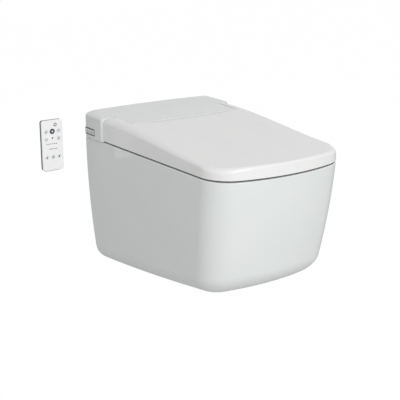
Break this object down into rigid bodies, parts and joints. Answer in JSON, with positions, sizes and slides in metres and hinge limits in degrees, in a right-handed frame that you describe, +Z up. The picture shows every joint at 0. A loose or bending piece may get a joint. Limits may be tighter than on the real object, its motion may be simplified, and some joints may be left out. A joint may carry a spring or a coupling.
{
  "type": "electric bidet seat",
  "caption": "Electric bidet seat on a wall-hung toilet bowl, with seat and lid hinges, retractable nozzle, warm-air dryer, side keys and a remote control in a wall cradle",
  "frame": {"origin": "Point on the bowl's back face, in the wall plane, midway between the two wall bolts.", "axes": "+Z up, the wall is the plane Y = 0, the bowl stands out along -Y, +X is to the right of someone who faces the wall."},
  "size_m": [0.514, 0.6, 0.4183],
  "materials": {
    "vitreous_china": "glazed vitreous china, fired gloss",
    "white_plastic": "glossy moulded resin",
    "seat_plastic": "semi-gloss moulded polypropylene",
    "grey_plastic": "matt moulded resin",
    "black_plastic": "matt glass-filled resin",
    "panel_plastic": "satin dark resin",
    "key_plastic": "satin moulded keys",
    "black_rubber": "moulded EPDM",
    "soft_rubber": "pale elastomer",
    "plated_steel": "zinc-plated and stainless steel",
    "valve_brass": "turned brass",
    "circuit_board": "green solder mask on laminate",
    "heater_foil": "copper-coloured film"
  },
  "bodies": {
    "base": {"bowl_shroud": "vitreous_china", "bowl_basin": "vitreous_china", "bowl_back": "vitreous_china", "outlet_seal": "black_rubber", "inlet_seal": "black_rubber", "wall_nut_left": "plated_steel", "wall_nut_right": "plated_steel", "deck_plate": "plated_steel", "deck_bolt_left": "plated_steel", "deck_bolt_right": "plated_steel", "base_plate": "grey_plastic", "housing_cover": "white_plastic", "side_key_panel": "panel_plastic", "control_board": "circuit_board", "power_supply": "black_plastic", "water_inlet": "valve_brass", "heater_tank": "grey_plastic", "water_pump": "black_plastic", "nozzle_guide": "grey_plastic", "nozzle_motor": "plated_steel", "dryer_housing": "grey_plastic", "dryer_motor": "plated_steel", "deodoriser_cartridge": "black_plastic", "hinge_pin_left": "plated_steel", "hinge_pin_right": "plated_steel", "lid_damper": "black_plastic", "seat_damper": "black_plastic", "wall_cradle": "white_plastic"},
    "seat": {"seat_top": "seat_plastic", "seat_base": "grey_plastic", "seat_heater": "heater_foil", "seat_buffer_1": "soft_rubber", "seat_buffer_2": "soft_rubber", "seat_buffer_3": "soft_rubber", "seat_buffer_4": "soft_rubber"},
    "lid": {"lid": "white_plastic", "lid_buffer_left": "soft_rubber", "lid_buffer_right": "soft_rubber"},
    "nozzle": {"nozzle_arm": "seat_plastic", "nozzle_tip": "seat_plastic"},
    "pinion": {"nozzle_pinion": "black_plastic"},
    "impeller": {"dryer_impeller": "black_plastic"},
    "flap": {"dryer_flap": "seat_plastic"},
    "remote": {"remote_front": "white_plastic", "remote_back": "panel_plastic", "battery_cover": "panel_plastic", "remote_board": "circuit_board"},
    "side_key_1": {"side_key_1": "key_plastic"},
    "side_key_2": {"side_key_2": "key_plastic"},
    "side_key_3": {"side_key_3": "key_plastic"},
    "side_key_4": {"side_key_4": "key_plastic"},
    "key_stop": {"key_stop": "key_plastic"},
    "key_rear": {"key_rear": "key_plastic"},
    "key_front": {"key_front": "key_plastic"},
    "key_dryer": {"key_dryer": "key_plastic"},
    "key_weaker": {"key_weaker": "key_plastic"},
    "key_stronger": {"key_stronger": "key_plastic"},
    "key_back": {"key_back": "key_plastic"},
    "key_menu": {"key_menu": "key_plastic"},
    "key_forward": {"key_forward": "key_plastic"}
  },
  "joints": [
    {"name": "seat_hinge", "type": "hinge", "parent": "base", "child": "seat", "pos_m": [0, -0.114, 0.12216], "axis": [-1, 0, 0], "range_deg": [0, 90]},
    {"name": "lid_hinge", "type": "hinge", "parent": "seat", "child": "lid", "pos_m": [0, -0.114, 0.12216], "axis": [1, 0, 0], "range_deg": [-95, 0]},
    {"name": "nozzle_slide", "type": "slide", "parent": "base", "child": "nozzle", "axis": [0, -0.891, -0.454], "range_m": [0, 0.1]},
    {"name": "pinion_turn", "type": "hinge", "parent": "base", "child": "pinion", "pos_m": [0, -0.15674, 0.09325], "axis": [-1, 0, 0], "range_deg": [0, 765]},
    {"name": "impeller_turn", "type": "hinge", "parent": "base", "child": "impeller", "pos_m": [0, -0.06179, 0.11395], "axis": [1, 0, 0], "continuous": true},
    {"name": "flap_hinge", "type": "hinge", "parent": "base", "child": "flap", "pos_m": [0, -0.1702, 0.07891], "axis": [-1, 0, 0], "range_deg": [0, 60], "stiffness_Nm_per_rad": 0.0005, "springref_deg": -20.05},
    {"name": "remote_lift", "type": "slide", "parent": "base", "child": "remote", "axis": [0, 0, 1], "range_m": [0, 0.065]},
    {"name": "side_key_1_press", "type": "slide", "parent": "base", "child": "side_key_1", "axis": [1, 0, 0], "range_m": [0, 0.0008], "stiffness_N_per_m": 400},
    {"name": "side_key_2_press", "type": "slide", "parent": "base", "child": "side_key_2", "axis": [1, 0, 0], "range_m": [0, 0.0008], "stiffness_N_per_m": 400},
    {"name": "side_key_3_press", "type": "slide", "parent": "base", "child": "side_key_3", "axis": [1, 0, 0], "range_m": [0, 0.0008], "stiffness_N_per_m": 400},
    {"name": "side_key_4_press", "type": "slide", "parent": "base", "child": "side_key_4", "axis": [1, 0, 0], "range_m": [0, 0.0008], "stiffness_N_per_m": 400},
    {"name": "key_stop_press", "type": "slide", "parent": "remote", "child": "key_stop", "axis": [0, 1, 0], "range_m": [0, 0.0006], "stiffness_N_per_m": 400},
    {"name": "key_rear_press", "type": "slide", "parent": "remote", "child": "key_rear", "axis": [0, 1, 0], "range_m": [0, 0.0006], "stiffness_N_per_m": 400},
    {"name": "key_front_press", "type": "slide", "parent": "remote", "child": "key_front", "axis": [0, 1, 0], "range_m": [0, 0.0006], "stiffness_N_per_m": 400},
    {"name": "key_dryer_press", "type": "slide", "parent": "remote", "child": "key_dryer", "axis": [0, 1, 0], "range_m": [0, 0.0006], "stiffness_N_per_m": 400},
    {"name": "key_weaker_press", "type": "slide", "parent": "remote", "child": "key_weaker", "axis": [0, 1, 0], "range_m": [0, 0.0006], "stiffness_N_per_m": 400},
    {"name": "key_stronger_press", "type": "slide", "parent": "remote", "child": "key_stronger", "axis": [0, 1, 0], "range_m": [0, 0.0006], "stiffness_N_per_m": 400},
    {"name": "key_back_press", "type": "slide", "parent": "remote", "child": "key_back", "axis": [0, 1, 0], "range_m": [0, 0.0006], "stiffness_N_per_m": 400},
    {"name": "key_menu_press", "type": "slide", "parent": "remote", "child": "key_menu", "axis": [0, 1, 0], "range_m": [0, 0.0006], "stiffness_N_per_m": 400},
    {"name": "key_forward_press", "type": "slide", "parent": "remote", "child": "key_forward", "axis": [0, 1, 0], "range_m": [0, 0.0006], "stiffness_N_per_m": 400}
  ],
  "couplings": [
    {"joint": "pinion_turn", "follows": "nozzle_slide", "rad_per_m": 133.33}
  ]
}
